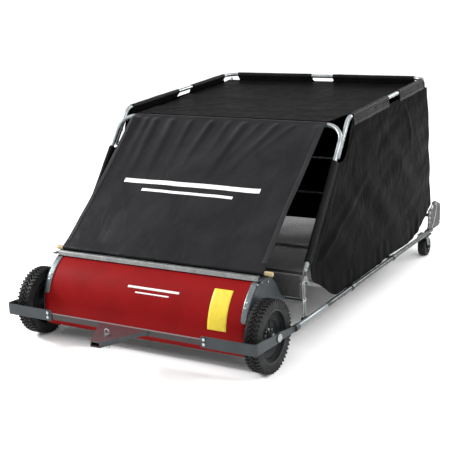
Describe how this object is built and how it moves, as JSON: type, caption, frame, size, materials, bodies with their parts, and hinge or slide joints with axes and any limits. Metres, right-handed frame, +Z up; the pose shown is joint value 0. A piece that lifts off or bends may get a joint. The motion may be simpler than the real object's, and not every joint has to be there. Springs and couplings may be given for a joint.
{
  "type": "lawn sweeper",
  "caption": "Tow-behind lawn sweeper: wheel-driven brush in a curved steel housing, with a tilting black cloth hopper on a tube frame, casters and a pin hitch.",
  "frame": {"origin": "middle of the machine's bounding box in plan, on the ground", "axes": "+Z up, -Y the way the machine is towed (hitch end), +X the machine's left-hand side"},
  "size_m": [1.269, 2.438, 0.994],
  "materials": {
    "red_paint": "gloss enamel",
    "grey_paint": "satin enamel",
    "galvanised": "zinc plated",
    "black_steel": "satin black",
    "brown_steel": "satin",
    "tyre_rubber": "matt moulded rubber",
    "black_plastic": "moulded",
    "bristle": "bristle tufts",
    "fabric": "coated black cloth",
    "mesh": "woven mesh",
    "dowel_wood": "bare turned wood"
  },
  "bodies": {
    "chassis": {"housing_shell": "red_paint", "side_plate_left": "grey_paint", "side_plate_right": "grey_paint", "hitch_bar": "grey_paint", "hitch_arm_left": "grey_paint", "hitch_arm_right": "grey_paint", "hitch_tongue": "grey_paint", "hitch_lower_plate": "grey_paint", "rail_bracket_left": "grey_paint", "rail_bracket_right": "grey_paint", "top_bar": "galvanised", "shell_strap_left": "galvanised", "shell_strap_right": "galvanised", "axle_bolt_left": "galvanised", "axle_bolt_right": "galvanised", "side_rail_left": "galvanised", "side_rail_right": "galvanised", "cross_tube_front": "galvanised", "cross_tube_rear": "galvanised", "rear_cross_tube": "galvanised", "hopper_post_left": "galvanised", "hopper_post_right": "galvanised", "lower_cross_rod": "galvanised", "hinge_rod": "black_steel", "caster_mount_left": "black_steel", "caster_mount_right": "black_steel", "rear_bracket_left": "brown_steel", "rear_bracket_right": "brown_steel", "debris_flap": "mesh"},
    "wheel_left": {"tyre_left": "tyre_rubber", "wheel_rim_left": "black_plastic", "ring_gear_left": "black_plastic"},
    "wheel_right": {"tyre_right": "tyre_rubber", "wheel_rim_right": "black_plastic", "ring_gear_right": "black_plastic"},
    "pinion_left": {"pinion_left": "black_plastic"},
    "pinion_right": {"pinion_right": "black_plastic"},
    "brush": {"brush_shaft": "black_steel", "brush_row_1": "bristle", "brush_row_2": "bristle", "brush_row_3": "bristle", "brush_row_4": "bristle"},
    "hopper": {"front_bow": "galvanised", "floor_front_rod": "galvanised", "top_frame": "galvanised", "rear_frame": "galvanised", "bag_side_left": "fabric", "bag_side_right": "fabric", "bag_back": "fabric", "bag_floor": "mesh", "top_cover": "fabric"},
    "wind_screen": {"wind_screen": "fabric", "dowel": "dowel_wood"},
    "hitch_pin": {"hitch_pin": "galvanised"},
    "caster_fork_left": {"caster_fork_left": "galvanised"},
    "caster_fork_right": {"caster_fork_right": "galvanised"},
    "caster_wheel_left": {"caster_wheel_left": "tyre_rubber"},
    "caster_wheel_right": {"caster_wheel_right": "tyre_rubber"}
  },
  "joints": [
    {"name": "wheel_left_spin", "type": "hinge", "parent": "chassis", "child": "wheel_left", "pos_m": [0.578, -0.835, 0.1524], "axis": [1, 0, 0], "continuous": true},
    {"name": "pinion_left_spin", "type": "hinge", "parent": "chassis", "child": "pinion_left", "pos_m": [0.561, -0.77862, 0.13188], "axis": [1, 0, 0], "continuous": true},
    {"name": "caster_left_swivel", "type": "hinge", "parent": "chassis", "child": "caster_fork_left", "pos_m": [0.59, 0.981, 0.112], "axis": [0, 0, 1], "continuous": true},
    {"name": "caster_left_roll", "type": "hinge", "parent": "caster_fork_left", "child": "caster_wheel_left", "pos_m": [0.59, 1.006, 0.05], "axis": [1, 0, 0], "continuous": true},
    {"name": "wheel_right_spin", "type": "hinge", "parent": "chassis", "child": "wheel_right", "pos_m": [-0.578, -0.835, 0.1524], "axis": [1, 0, 0], "continuous": true},
    {"name": "pinion_right_spin", "type": "hinge", "parent": "chassis", "child": "pinion_right", "pos_m": [-0.561, -0.77862, 0.13188], "axis": [1, 0, 0], "continuous": true},
    {"name": "caster_right_swivel", "type": "hinge", "parent": "chassis", "child": "caster_fork_right", "pos_m": [-0.59, 0.981, 0.112], "axis": [0, 0, 1], "continuous": true},
    {"name": "caster_right_roll", "type": "hinge", "parent": "caster_fork_right", "child": "caster_wheel_right", "pos_m": [-0.59, 1.006, 0.05], "axis": [1, 0, 0], "continuous": true},
    {"name": "brush_spin", "type": "hinge", "parent": "chassis", "child": "brush", "pos_m": [0, -0.77862, 0.13188], "axis": [1, 0, 0], "continuous": true},
    {"name": "hopper_dump", "type": "hinge", "parent": "chassis", "child": "hopper", "pos_m": [0, -0.541, 0.332], "axis": [1, 0, 0], "range_deg": [0, 75]},
    {"name": "wind_screen_swing", "type": "hinge", "parent": "hopper", "child": "wind_screen", "pos_m": [0, -0.10841, 0.89373], "axis": [1, 0, 0], "range_deg": [-66, 0]},
    {"name": "hitch_pin_lift", "type": "slide", "parent": "chassis", "child": "hitch_pin", "axis": [0, 0, 1], "range_m": [0, 0.09]}
  ],
  "couplings": [
    {"joint": "wheel_left_spin", "follows": "brush_spin", "ratio": 0.25},
    {"joint": "pinion_left_spin", "follows": "brush_spin", "ratio": 1},
    {"joint": "pinion_right_spin", "follows": "wheel_right_spin", "ratio": 4},
    {"joint": "wind_screen_swing", "follows": "hopper_dump", "ratio": -0.85}
  ]
}
